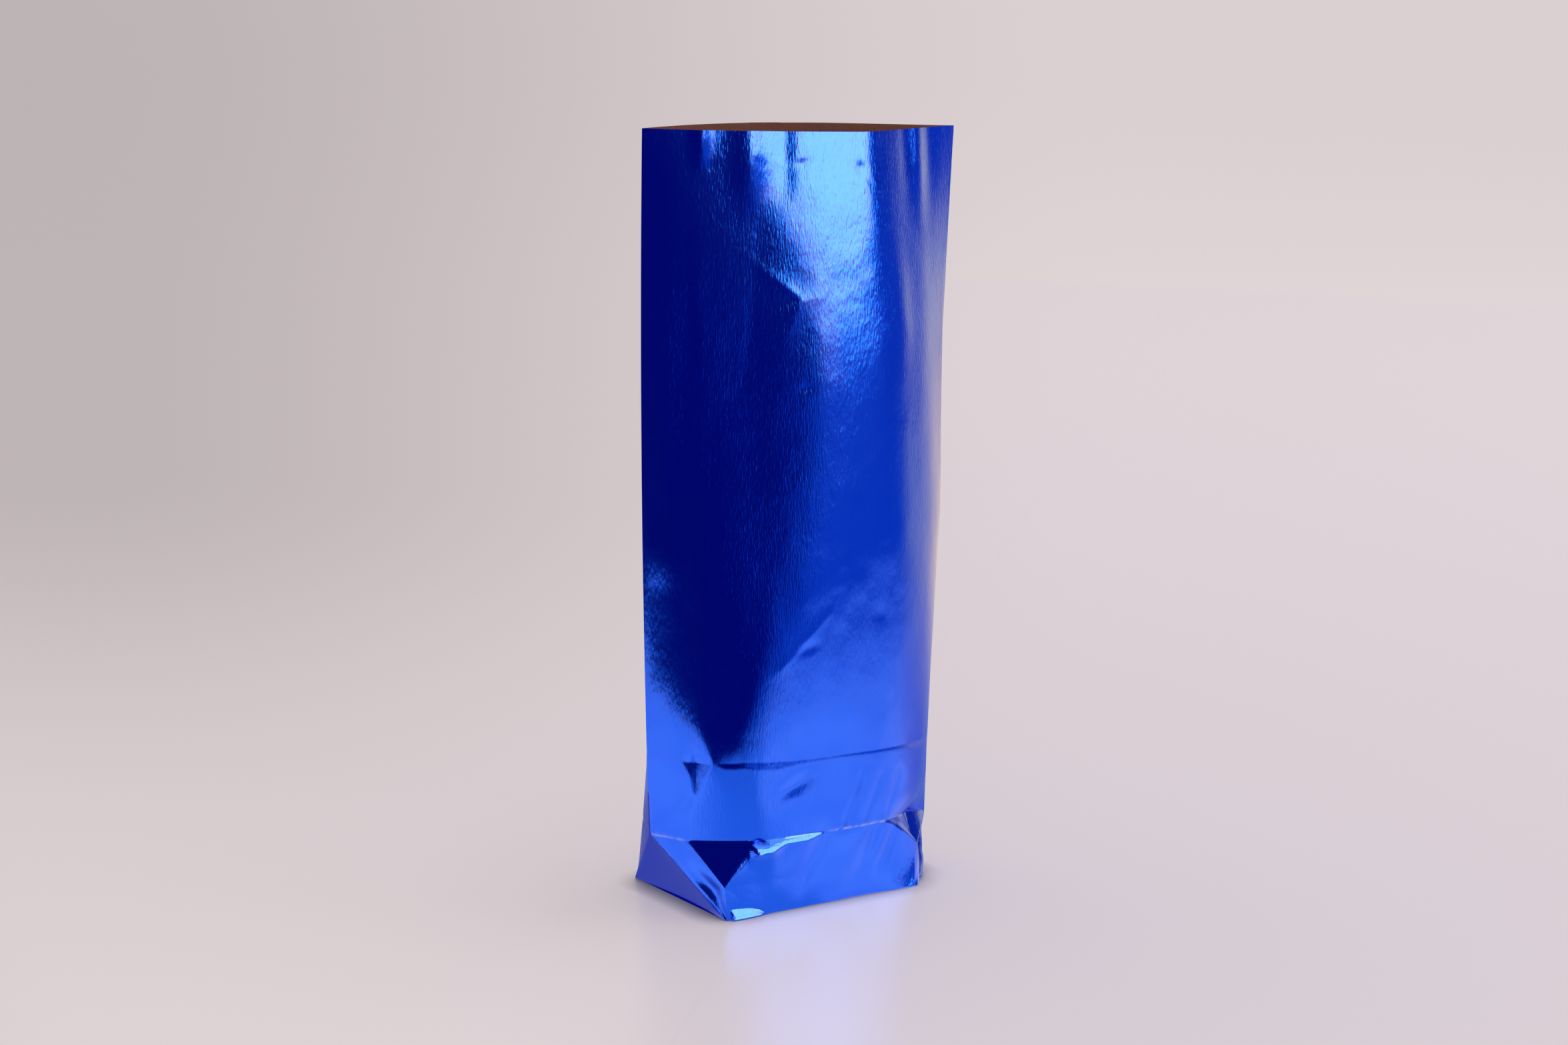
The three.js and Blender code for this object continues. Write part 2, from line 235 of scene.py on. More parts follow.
def ripple(across, z, wavelength, stretch, seed):
    """Smooth random waves between -1 and 1, drawn out upwards by stretch."""
    random = np.random.default_rng(seed)
    lattice = random.uniform(-1, 1, (LATTICE, LATTICE))
    gx = across / wavelength + 90
    gz = z / (wavelength * stretch) + 40
    ix = np.floor(gx).astype(int)
    iz = np.floor(gz).astype(int)
    fx = gx - ix
    fz = gz - iz
    sx = fx**3 * (fx * (fx * 6 - 15) + 10)
    sz = fz**3 * (fz * (fz * 6 - 15) + 10)
    left, right = ix % LATTICE, (ix + 1) % LATTICE
    below, above = iz % LATTICE, (iz + 1) % LATTICE
    low = lattice[left, below] * (1 - sx) + lattice[right, below] * sx
    high = lattice[left, above] * (1 - sx) + lattice[right, above] * sx
    return low * (1 - sz) + high * sz


def tent(across, z, middle, corners):
    """1 at the middle, falling in flat facets to 0 on the line round the corners, which go anticlockwise."""
    weight = np.zeros_like(across)
    for (bx, bz), (cx, cz) in zip(corners, corners[1:] + corners[:1]):
        ax, az = middle
        area = (bx - ax) * (cz - az) - (cx - ax) * (bz - az)
        if abs(area) < 1e-6:
            continue
        b = ((across - ax) * (cz - az) - (cx - ax) * (z - az)) / area
        c = ((bx - ax) * (z - az) - (across - ax) * (bz - az)) / area
        inside = (b >= 0) & (c >= 0) & (b + c <= 1)
        weight = np.where(inside, np.maximum(weight, 1 - b - c), weight)
    return weight


def pocket(across, rise, edge, slope, decay):
    """A facet that goes in from its lower edge up to a fold line, above which the wall comes out again.

    rise is the height over the fold line; edge gives the lower edge as (across, rise) from left to right.
    """
    low = np.interp(across, [a for a, _ in edge], [r for _, r in edge], left=0, right=0)
    deep = slope * np.clip(np.minimum(rise, 0) - low, 0, None)
    return -deep * np.exp(-np.clip(rise, 0, None) / decay)


def dent(across, z, place, size, turn, depth):
    """A soft dent of this half length and half width, turned anticlockwise from level by turn degrees."""
    turn = math.radians(turn)
    dx = across - place[0]
    dz = z - place[1]
    along = dx * math.cos(turn) + dz * math.sin(turn)
    over = dz * math.cos(turn) - dx * math.sin(turn)
    return -depth * np.exp(-((along / size[0]) ** 2) - (over / size[1]) ** 2)


def crease(across, z, start, end, width, depth):
    """A straight pressed line that fades at both ends."""
    way = np.subtract(end, start)
    length = math.hypot(*way)
    way = way / length
    along = (across - start[0]) * way[0] + (z - start[1]) * way[1]
    over = (z - start[1]) * way[0] - (across - start[0]) * way[1]
    fade = ramp(along, -2.5, 2.5) * ramp(length - along, -2.5, 2.5)
    return -depth * fade * np.exp(-np.abs(over) / width)


def belly_relief(across, z, above):
    """The slack front keeps upright above the second fold line, and from a curved line on it leans back.

    The curved line is lowest at the pinch on the left, and above is the height over the second fold line.
    """
    to_right = positive(across + 31, 0.8 + 7 * ramp(above, 8, 60))
    to_left = np.clip(-35.7 - across, 0, None)
    line = 64 * (1 - np.exp(-to_right / 18)) + 17.5 * (1 - np.exp(-to_left / 6.5))
    bend = 2.0 + 9 * ramp(across, -28, 0) + 1.4 * ramp(-across, 38, 46)
    over = positive(above - line, bend)
    upright = 0.03 * ramp(across, -27, -5)
    fall = 4.6 * (1 - 0.7 * ramp(across, -14, 16)) * (0.1 + 0.9 * ramp(across, -57, -42))
    out = upright * np.clip(above, 0, line) * (1 - ramp(z, 110, 205))
    out -= fall * (1 - np.exp(-over / 46)) * (1 - ramp(z, 120, 209))
    # The wall is fuller in the middle and, towards the mouth, has a low ridge on the right.
    out += 1.8 * hill(z, 150, 40) * hill(across, -3, 22)
    out += 0.45 * hill(across, 23, 5) * hill(z, 160, 15)
    # A bulge over a dent at the left edge.
    return out + 0.42 * hill(across, -50, 9) * hill(z, 98, 8)


def second_fold_relief(across, above):
    """Under the second fold line, a narrow facet of changing height, and one larger triangle on the left."""
    triangle = [(-44.8, 0), (-43.6, -2.2), (-42, -4.6), (-40.9, -10.5), (-39.4, -7.2), (-36.0, 0)]
    narrow = [
        (-35.7, 0), (-33, -1.3), (-30, -1.6), (-27.6, -1.3), (-24, -2.3), (-19, -2.6), (-12, -1.5),
        (-3, -1.0), (10, -0.9), (21, -1.0), (28, -1.5), (35, -2.2), (40, -1.5), (46, 0),
    ]
    out = pocket(across, above, triangle, 0.15, 2.5)
    return out + pocket(across, above, narrow, 0.13 + 0.1 * ramp(-across, 20, 29), 3)


def first_fold_relief(across, z, below):
    """The panel under the first fold line, where below is the depth under that line."""
    # It stands out in a rolled lip, left of the middle.
    tip = ramp(across, -27.6, -25.2)
    lip = tip * (1.0 * ramp(-1.9 - across, 0, 8) + 1.2 * ramp(-15 - across, 0, 6))
    drop = 1.5 * lip + 0.2
    roll = np.sin(np.clip(below / drop, 0, 1) * math.pi / 2)
    fade = 1.2 + 2.3 * ramp(across, -25, -17)
    out = lip * roll * np.exp(-np.clip(below - drop, 0, None) / fade) * (below > 0)
    out += dent(across, z, (-23.6, 19.9), (1.5, 0.7), -25, 0.7)
    # Its right end goes in under the fold line.
    right_end = [(17, 0), (24, -3.2), (33, -7.0), (41, -9.0), (52, 0)]
    out += pocket(across, -below, right_end, 0.62, 4)
    # Its bottom edge turns out beside the left corner.
    flare = 2.9 * np.sqrt(np.clip(1 - ((across + 31) / 10) ** 2, 0, 1)) * ramp(across, -34, -32)
    return out + 0.36 * np.clip(flare - z, 0, None)


# Creases are given by start, end, width and depth, and are raised where the depth is negative.
CREASES = (
    ((-50, 24.3), (-43.9, 24), 0.5, 0.12),
    ((-18, 67), (-3, 82), 1.4, -0.2),
    ((9, 36), (2, 21), 2.2, 0.46),  # three soft upright wrinkles over the first fold line
    ((16, 35), (9, 21), 2.4, 0.4),
    ((23, 34), (17, 21), 2.4, 0.4),
)
# Dents are given by place, half length and half width, turn and depth.
DENTS = (
    ((-45.4, 29), (4.2, 1.6), 58, 0.3),
    ((-13, 34.4), (6.2, 2.3), 26, 0.5),
    ((-9.7, 72.6), (3.2, 1.4), 20, 0.2),
    ((13, 79.4), (2.2, 3.2), 30, 0.16),
    ((-9.7, 142.3), (1.9, 0.8), 0, 0.14),
    ((12.5, 14), (9, 2.6), 80, 0.6),  # the lower panel's soft bands, which lean down to the left
    ((20, 13), (8, 2.4), 76, 0.5),
    ((-7, 11), (9, 3.2), 70, 0.45),
    ((5, 4), (9, 2.2), 24, 0.4),
    ((-17, 8), (7, 3), 62, -0.25),
    ((-49.3, 8.5), (3.6, 4.0), 0, 0.8),  # in the facet left of the corner
    ((-35.7, 201), (1.8, 0.9), 20, 0.10),  # a row a little under the rim
    ((-21.8, 201.3), (2.2, 1.0), -10, 0.04),
    ((-10.2, 201.1), (2.6, 1.0), 8, 0.18),
    ((8.6, 199.2), (1.6, 2.2), 30, 0.24),
    ((11.5, 196), (0.9, 2.4), 25, 0.08),
)
# Flutes run up to the rim. They are given by middle, half width, height, and where they begin and are full.
FLUTES = (
    (-39.2, 2.2, 0.8, 198, 209),
    (-25.5, 4.2, 0.95, 184, 205),
    (-15, 3, -0.45, 186, 206),
    (9, 3, -0.15, 196, 209),
    (30, 3.5, -0.3, 180, 205),
    (36, 3, 0.5, 176, 204),
    (43, 3.5, -0.4, 180, 206),
)
PINCH = (-11, 166)  # where the highlight's edge is pinched in


def crease_relief(across, z):
    out = np.zeros_like(across)
    for start, end, width, depth in CREASES:
        out += crease(across, z, start, end, width, depth)
    for place, size, turn, depth in DENTS:
        out += dent(across, z, place, size, turn, depth)
    for middle, half, height, low, high in FLUTES:
        out += height * hill(across, middle, half) * ramp(z, low, high)
    # A ridge runs up and down to the left from the pinch.
    from_pinch = z - PINCH[1]
    ridge = across - PINCH[0] + np.where(from_pinch > 0, 1.3, 0.4) * np.abs(from_pinch)
    return out + 0.32 * np.exp(-np.abs(ridge) / 3) * hill(z, PINCH[1], 10)


def paper_relief(across, z):
    """The paper's unevenness: broad waves, and a leathery grain, stronger where the belly crumpled."""
    crumpled = hill(across, 8, 26) * hill(z, 84, 30)
    low_down = 1 - ramp(z, 30, 60)
    out = (0.15 + 0.25 * low_down) * ripple(across, z, 16, 1.3, 3)
    out += (0.03 + 0.04 * crumpled + 0.05 * low_down) * ripple(across, z, 5.2, 1.3, 4)
    return out + (0.009 + 0.016 * crumpled) * ripple(across, z, 2.4, 1.2, 5)


def front_relief(across, z, fold, second):
    """How far the front wall stands out of its smooth shape. fold and second are the fold lines' heights."""
    out = belly_relief(across, z, z - second)
    out += second_fold_relief(across, z - second)
    out += first_fold_relief(across, z, fold - z)
    out += crease_relief(across, z)
    return out + paper_relief(across, z)


# ---------------------------------------------------------------- meshes


def outward(points):
    """Unit normals of a grid of points, whose rows go up and whose columns go rightwards from outside."""
    normal = np.cross(np.gradient(points, axis=1), np.gradient(points, axis=0))
    size = np.linalg.norm(normal, axis=-1, keepdims=True)
    return normal / np.maximum(size, 1e-9)


def rows_of_heights():
    foot = [0, 0.004, 0.009, 0.015, 0.022, 0.032]
    lower = np.linspace(0.045, 1, 46, endpoint=False)
    folds = np.linspace(1, 2, 46, endpoint=False)
    crisp = [2, 2.0015, 2.003]
    upper = np.linspace(2.005, 3, 212)
    return np.concatenate([foot, lower, folds, crisp, upper])


HEIGHTS = rows_of_heights()
FRONT_SHARES = np.linspace(0, 1, 200)
BACK_SHARES = np.linspace(0, 1, 76)
STEP_SIZE = 20  # millimetres that stand for one height step where distances are compared
SIDE_COLUMNS = 25
BASE_COLUMNS, BASE_ROWS = 73, 49
FOOT_ROWS = 6
FOOT_RADIUS = 0.5
SEAM_MIDDLE, SEAM_WIDTH, SEAM_STEP = -5.5, 11.0, 0.25
BASE_THICKNESS = 1.0
RIM_INSET, WALL_INSET = 0.05, 0.5  # the lining lies this far in at the rim, and so much further in below it
LINING_SIZE = (0.99, 1, 1)  # against the outside
LINING_FLOOR_SIZE = (0.96, 0.97, 1)  # against the base
TUCK_RECESS = 0.3  # the tucks at the ends of the base lie this far above its flaps
TUCK_MARGIN = 2.2  # leaves the outer edge of the base at its full depth
TUCKS_APART = 11.2  # from the base's middle to the point of a tuck
RIGHT_BULGE = 6.0  # how far the triangle at the right end of the base stands out
LEFT_DRAWN_IN = 0.8  # how far the one at its left end is drawn in
WELD_DISTANCE, SHORTEST_EDGE = 0.00002, 0.00001  # metres
SHARP_FROM = 50  # degrees between two faces from which their edge stays sharp


def pull(points, across, middle, corners, target):
    """Pulls the wall's point at middle, given as across and height step, to the target.

    The wall follows in flat facets, up to the line round the corners.
    """
    heights = np.broadcast_to(HEIGHTS[:, None], points.shape[:2])
    row = np.abs(HEIGHTS - middle[1]).argmin()
    column = np.abs(across[0] - middle[0]).argmin()
    peak = (middle[0], middle[1] * STEP_SIZE)
    line = [(a, h * STEP_SIZE) for a, h in corners]
    weight = tent(across, heights * STEP_SIZE, peak, line)
    return points + weight[..., None] * (np.array(target) - points[row, column])


def foot(points, out_of_wall):
    """Rounds the wall's lowest edge in towards the base."""
    turned = out_of_wall[FOOT_ROWS] * (1, 1, 0)
    turned = turned / np.linalg.norm(turned, axis=-1, keepdims=True)
    z = np.clip(points[:FOOT_ROWS, :, 2:], 0, FOOT_RADIUS)
    inset = FOOT_RADIUS - np.sqrt(FOOT_RADIUS**2 - (FOOT_RADIUS - z) ** 2)
    points[:FOOT_ROWS] -= turned * inset
    return points


def front_wall():
    points = wall_between(FRONT_LEVELS, -1, FRONT_SHARES, HEIGHTS)
    across = np.broadcast_to((FRONT_SHARES - 0.5) * FLAT_WIDTH, points.shape[:2])
    # Under the first fold line, across follows the base's edge, so that it means a place on the panel.
    lower = np.clip(1 - np.abs(HEIGHTS - KNEE) / np.where(HEIGHTS < KNEE, KNEE, 1 - KNEE), 0, 1)[:, None]
    share = np.clip((across - KNEE_TO) / (KNEE_END - KNEE_TO), 0, 1)
    moved = CORNER_ACROSS + (KNEE_END - CORNER_ACROSS) * share
    place = np.where(across < KNEE_END, across + (moved - across) * lower, across)
    place = np.where(across < KNEE_TO, np.minimum(across, place), place)
    # The crease at the right end of the panel is bent in.
    points = pull(points, across, (55, 0.4), [(55, 0), (55, 1), (20, 1)], BENT_CREASE)
    z = points[..., 2]
    fold = points[np.searchsorted(HEIGHTS, 1.0), :, 2]
    second = points[np.searchsorted(HEIGHTS, 2.0), :, 2]
    edge = ramp(np.minimum(FRONT_SHARES, 1 - FRONT_SHARES), 0, 0.02)
    relief = front_relief(place, z, fold[None], second[None]) * edge
    out_of_wall = outward(points)
    return foot(points + out_of_wall * relief[..., None], out_of_wall)


def back_wall():
    points = wall_between(BACK_LEVELS, 1, BACK_SHARES, HEIGHTS)
    across = np.broadcast_to((BACK_SHARES - 0.5) * FLAT_WIDTH, points.shape[:2])
    z = points[..., 2]
    relief = 0.12 * ripple(across, z, 16, 1.6, 13) + 0.03 * ripple(across, z, 5.2, 1.3, 14)
    # The glued overlap is a strip that stands out by one thickness of paper.
    beside = SEAM_WIDTH / 2 - np.abs(across - SEAM_MIDDLE)
    relief += SEAM_STEP * ramp(beside, -0.2, 0.5) * ramp(z, 19, 21)
    # The two fold lines are pressed in.
    for line in (1.0, 2.0):
        height = points[np.searchsorted(HEIGHTS, line), :, 2]
        relief -= 0.16 * np.exp(-np.abs(z - height[None]) / 0.7)
    edge = ramp(np.minimum(BACK_SHARES, 1 - BACK_SHARES), 0, 0.03)
    out_of_wall = -outward(points)
    return foot(points + out_of_wall * (relief * edge)[..., None], out_of_wall)


def side_wall(sign_x, front, back):
    """The triangle at one end of the base. Its two long sides are the ends of the front and back walls."""
    rows = int(np.searchsorted(HEIGHTS, 1.0)) + 1
    column = -1 if sign_x > 0 else 0
    shares = np.linspace(0, 1, SIDE_COLUMNS)[None, :, None]
    a = front[:rows, column][:, None]
    b = back[:rows, column][:, None]
    points = a + (b - a) * shares
    s = shares[..., 0]
    height = HEIGHTS[:rows][:, None]
    if sign_x > 0:
        # It is slack, most of all near the front corner and low down.
        spread = (1 - np.exp(-s / 0.05)) * np.sqrt(1 - s)
        spread = spread * ramp(height, -0.06, 0.12) * (1 - ramp(height, 0.25, 1))
    else:
        spread = 4 * s * (1 - s) * (1 - height)
    points[..., 0] += spread * (RIGHT_BULGE if sign_x > 0 else LEFT_DRAWN_IN)
    return points


def inside_of(wall, inwards, shares):
    """The wall's inner side, close to it at the rim and at the side folds, and a little narrower than it."""
    inset = RIM_INSET + WALL_INSET * ramp(3 - HEIGHTS, 0, 0.06)[:, None]
    inset = inset * ramp(np.minimum(shares, 1 - shares), 0, 0.05)
    return (wall + inwards * inset[..., None]) * LINING_SIZE


def base_sheet(front, back, left, right):
    """The base between the walls' lowest edges, and how far the tucks at its ends lie above its flaps."""
    shares = np.linspace(0, 1, BASE_COLUMNS)
    edges = []
    for wall, at in ((front, FRONT_SHARES), (back, BACK_SHARES)):
        edges.append(np.stack([np.interp(shares, at, wall[0, :, k]) for k in range(3)], -1))
    over = np.linspace(0, 1, BASE_ROWS)[:, None, None]
    sheet = edges[0] * (1 - over) + edges[1] * over
    for column, wall in ((0, left), (-1, right)):
        at = np.linspace(0, 1, wall.shape[1])
        sheet[:, column] = np.stack([np.interp(over[:, 0, 0], at, wall[0, :, k]) for k in range(3)], -1)
    x = np.abs(sheet[..., 0])
    y = np.abs(sheet[..., 1])
    depth = np.minimum(BASE_WIDTH / 2 - TUCK_MARGIN - x, (x - TUCKS_APART - y) * 0.7)
    return sheet, TUCK_RECESS * ramp(depth, 0, 0.6)


def worn_paint(points):
    """Where the front wall's lacquer is rubbed pale: along the first fold line and the corner creases."""
    across = np.broadcast_to((FRONT_SHARES - 0.5) * FLAT_WIDTH, points.shape[:2])
    z = points[..., 2]
    row = np.searchsorted(HEIGHTS, 1.0)
    rubbed = np.clip(0.35 + 0.4 * ripple(across, z, 0.9, 0.6, 21), 0, 1)
    line = np.exp(-(((z - points[row, :, 2] - 0.1) / 0.25) ** 2))
    along = 1 - 0.9 * ramp(across, -46, -43) * (1 - ramp(across, -4, 2))
    corner = np.exp(-(((np.abs(across) - FLAT_WIDTH / 2) / 0.35) ** 2)) * (z < points[row, 0, 2])
    return np.clip(line * along * rubbed + 0.7 * corner * rubbed, 0, 1)


def grid_faces(rows, columns, first, flip):
    i = np.arange(rows - 1)[:, None] * columns + np.arange(columns - 1)[None] + first
    faces = np.stack([i, i + 1, i + columns + 1, i + columns], -1).reshape(-1, 4)
    return faces[:, ::-1] if flip else faces


def sheet_object(name, grids, material):
    """One object from several grids, given as (points, flip, worn), welded where they meet."""
    places = []
    faces = []
    worn = []
    first = 0
    for points, flip, rubbed in grids:
        rows, columns = points.shape[:2]
        faces.append(grid_faces(rows, columns, first, flip))
        places.append(points.reshape(-1, 3) + CENTRING)
        worn.append(np.broadcast_to(rubbed, (rows, columns)).reshape(-1))
        first += rows * columns
    mesh = bpy.data.meshes.new(name)
    mesh.from_pydata((np.concatenate(places) * MM).tolist(), [], np.concatenate(faces).tolist())
    mesh.attributes.new("worn", "FLOAT", "POINT").data.foreach_set("value", np.concatenate(worn))
    work = bmesh.new()
    work.from_mesh(mesh)
    bmesh.ops.remove_doubles(work, verts=work.verts, dist=WELD_DISTANCE)
    bmesh.ops.dissolve_degenerate(work, edges=work.edges, dist=SHORTEST_EDGE)
    work.to_mesh(mesh)
    work.free()
    mesh.shade_smooth()
    mesh.set_sharp_from_angle(angle=math.radians(SHARP_FROM))
    mesh.materials.append(material)
    piece = bpy.data.objects.new(name, mesh)
    bpy.context.collection.objects.link(piece)
    return piece


# ---------------------------------------------------------------- materials

FOIL_BLUES = ((0.007, 0.115, 0.93, 1), (0.009, 0.135, 0.97, 1))
FOIL_RUBBED = (0.42, 0.5, 0.78, 1)
KRAFT_BROWNS = ((0.15, 0.046, 0.03, 1), (0.27, 0.088, 0.06, 1))


class Nodes:
    """Short calls for building a material's node tree."""

    def __init__(self, name):
        self.material = bpy.data.materials.new(name)
        self.material.use_nodes = True
        self.tree = self.material.node_tree
        self.tree.nodes.clear()
        self.output = self.tree.nodes.new("ShaderNodeOutputMaterial")

    def add(self, kind, settings=None, **inputs):
        node = self.tree.nodes.new("ShaderNode" + kind)
        for key, value in (settings or {}).items():
            setattr(node, key, value)
        for key, value in inputs.items():
            self.put(node.inputs[key.replace("_", " ")], value)
        return node

    def put(self, socket, value):
        if isinstance(value, bpy.types.NodeSocket):
            self.tree.links.new(value, socket)
        else:
            socket.default_value = value

    def dot(self, vector, direction):
        node = self.add("VectorMath", {"operation": "DOT_PRODUCT"})
        self.put(node.inputs[0], vector)
        self.put(node.inputs[1], direction)
        return node.outputs["Value"]

    def spread(self, value, low, high, at_low, at_high):
        node = self.add("MapRange", {"interpolation_type": "SMOOTHSTEP"}, Value=value)
        sockets = ("From Min", "From Max", "To Min", "To Max")
        for socket, number in zip(sockets, (low, high, at_low, at_high)):
            node.inputs[socket].default_value = number
        return node.outputs[0]

    def mixed(self, share, a, b):
        """The colour a where share is 0, and b where it is 1."""
        node = self.add("Mix", {"data_type": "RGBA"})
        for socket, value in zip((0, 6, 7), (share, a, b)):
            self.put(node.inputs[socket], value)
        return node.outputs[2]

    def math(self, operation, a, b=0.0):
        node = self.tree.nodes.new("ShaderNodeMath")
        node.operation = operation
        self.put(node.inputs[0], a)
        self.put(node.inputs[1], b)
        return node.outputs[0]


def foil_material():
    n = Nodes("foil")
    place = n.add("TexCoord").outputs["Object"]
    streak_space = n.add("Mapping", Vector=place, Scale=(2600, 2600, 420)).outputs[0]
    streaks = n.add("TexNoise", Vector=streak_space, Scale=1.0, Detail=1.5, Roughness=0.5).outputs["Fac"]
    grain_space = n.add("Mapping", Vector=place, Scale=(1500, 1500, 520)).outputs[0]
    grain = n.add("TexNoise", Vector=grain_space, Scale=1.0, Detail=1.0, Roughness=0.5).outputs["Fac"]
    coarse = n.add("Bump", Height=grain, Strength=1.0, Distance=0.000045).outputs[0]
    bump = n.add("Bump", Height=streaks, Strength=1.0, Distance=0.00007, Normal=coarse).outputs[0]
    worn = n.add("Attribute", {"attribute_name": "worn"}).outputs["Fac"]
    # The lacquer is a little uneven, and so is its blue.
    cloud_space = n.add("Mapping", Vector=place, Scale=(70, 70, 40)).outputs[0]
    cloud = n.add("TexNoise", Vector=cloud_space, Scale=1.0, Detail=3.0).outputs["Fac"]
    blue = n.mixed(cloud, *FOIL_BLUES)
    shader = n.add(
        "BsdfPrincipled",
        Base_Color=n.mixed(worn, blue, FOIL_RUBBED),
        Metallic=1.0,
        Roughness=n.spread(worn, 0, 1, 0.16, 0.5),
        Coat_Weight=0.6,
        Coat_Roughness=0.12,
        Coat_IOR=1.5,
        Normal=bump,
    )
    n.put(n.output.inputs["Surface"], shader.outputs[0])
    return n.material


def kraft_material():
    n = Nodes("kraft")
    place = n.add("TexCoord").outputs["Object"]
    fibres = n.add("TexNoise", Vector=place, Scale=900.0, Detail=4.0).outputs["Fac"]
    colour = n.add("ValToRGB", Fac=fibres)
    colour.color_ramp.elements[0].color = KRAFT_BROWNS[0]
    colour.color_ramp.elements[1].color = KRAFT_BROWNS[1]
    bump = n.add("Bump", Height=fibres, Strength=0.6, Distance=0.00003).outputs[0]
    shader = n.add("BsdfPrincipled", Base_Color=colour.outputs[0], Roughness=0.85, Normal=bump)
    n.put(n.output.inputs["Surface"], shader.outputs[0])
    return n.material


# ---------------------------------------------------------------- camera and studio


def camera():
    yaw, pitch, roll = (math.radians(a) for a in (CAMERA_YAW, CAMERA_PITCH, CAMERA_ROLL))
    ahead = Vector((math.sin(yaw) * math.cos(pitch), math.cos(yaw) * math.cos(pitch), -math.sin(pitch)))
    level = Vector((math.cos(yaw), -math.sin(yaw), 0))
    raised = level.cross(ahead)
    right = level * math.cos(roll) + raised * math.sin(roll)
    up = raised * math.cos(roll) - level * math.sin(roll)
    data = bpy.data.cameras.new("photo_camera")
    data.sensor_width = SENSOR_WIDTH
    data.lens = SENSOR_WIDTH * FOCAL_PIXELS / PHOTO_WIDTH
    data.clip_end = 50
    made = bpy.data.objects.new("photo_camera", data)
    place = Vector(CAMERA_PLACE) * MM
    made.matrix_world = Matrix.Translation(place) @ Matrix((right, up, -ahead)).transposed().to_4x4()
    bpy.context.collection.objects.link(made)
    bpy.context.scene.camera = made


BACKDROP = (0.686, 0.624, 0.631)
BACKDROP_SEEN, BACKDROP_REFLECTED = 1.15, 0.8
# Lengths in the studio are metres.
OVERHEAD_PLACE = (1.1, -0.2, 1.5)
OVERHEAD_SIZE = 1.4
OVERHEAD_WATTS = 7
CARD_STEPS = 24
FLOOR_SIZE = 60
FLOOR_COLOUR = (0.83, 0.765, 0.775)
FLOOR_MATT, FLOOR_PAINTED_GLOW = 0.62, 0.36  # shares of the floor's colour that it reflects, and that it glows with as painted light
CONTACT_SHADOW_REACH = 0.007
CAMERA_AWAY = 0.9  # from the bag, along the floor
# Directions on the floor.
CAMERA_RIGHT = (0.83, -0.56, 0)
CAMERA_AHEAD = (0.56, 0.83, 0)
BEHIND = (-0.55, 0.83, 0)
ASIDE = (0.83, 0.55, 0)
FAR_RIGHT = (0.643, 0.766, 0)
NEAR_LEFT = (-0.42, -0.907, 0)
# The floor's colours as the foil reflects them, close by and far off: painted reflections, and a painted
# shade.
PATCHES = ((1.35, 1.14, 1.06, 1), (0.95, 0.88, 0.98, 1))
CLOSE_RIGHT, CLOSE_LEFT = (0.14, 0.22, 0.62, 1), (0.42, 0.66, 0.82, 1)
DISTANT, DISTANT_RIGHT, DISTANT_LEFT = (0.03, 0.18, 0.5, 1), (0.85, 0.66, 0.54, 1), (0.005, 0.02, 0.17, 1)
SHADED = (0.16, 0.17, 0.42, 1)


def card_light(name, colour, low_ends, high_ends, lean, heights, soft):
    """A glow that fades out over soft degrees at its ends and over soft metres at its lower edge.

    Its two ends are azimuths that change from low_ends to high_ends between the two heights of lean.
    """
    n = Nodes(name)
    place = n.add("TexCoord").outputs["Object"]
    turn = n.math("DEGREES", n.math("ARCTAN2", n.dot(place, (1, 0, 0)), n.dot(place, (0, -1, 0))))
    height = n.dot(place, (0, 0, 1))
    left = n.spread(height, lean[0], lean[1], low_ends[0], high_ends[0])
    right = n.spread(height, lean[0], lean[1], low_ends[1], high_ends[1])
    starts = n.spread(n.math("SUBTRACT", turn, left), 0, soft[0], 0, 1)
    ends = n.spread(n.math("SUBTRACT", right, turn), 0, soft[1], 0, 1)
    rises = n.spread(height, heights[0], heights[0] + soft[2], 0, 1)
    cover = n.math("MULTIPLY", n.math("MULTIPLY", starts, ends), rises)
    shown = n.add("MixShader", Fac=cover)
    n.put(shown.inputs[1], n.add("BsdfTransparent").outputs[0])
    n.put(shown.inputs[2], n.add("Emission", Color=(*colour, 1), Strength=1.0).outputs[0])
    n.put(n.output.inputs["Surface"], shown.outputs[0])
    return n.material


def curved_card(name, distance, heights, colour, low_ends, high_ends=None, lean=(0, 1), soft=(1, 1, 0.01)):
    """A card that stands round the bag and shows only in its reflections.

    Its ends are azimuths in degrees, and azimuth 0 is straight before the front.
    """
    high_ends = high_ends or low_ends
    first = min(low_ends[0], high_ends[0])
    last = max(low_ends[1], high_ends[1])
    corners = []
    for i in range(CARD_STEPS + 1):
        azimuth = math.radians(first + (last - first) * i / CARD_STEPS)
        for height in heights:
            corners.append((distance * math.sin(azimuth), -distance * math.cos(azimuth), height))
    faces = [(2 * i, 2 * i + 2, 2 * i + 3, 2 * i + 1) for i in range(CARD_STEPS)]
    mesh = bpy.data.meshes.new(name)
    mesh.from_pydata(corners, [], faces)
    mesh.materials.append(card_light(name, colour, low_ends, high_ends, lean, heights, soft))
    card = bpy.data.objects.new(name, mesh)
    bpy.context.collection.objects.link(card)
    card.visible_camera = False
    card.visible_diffuse = False
    card.visible_shadow = False


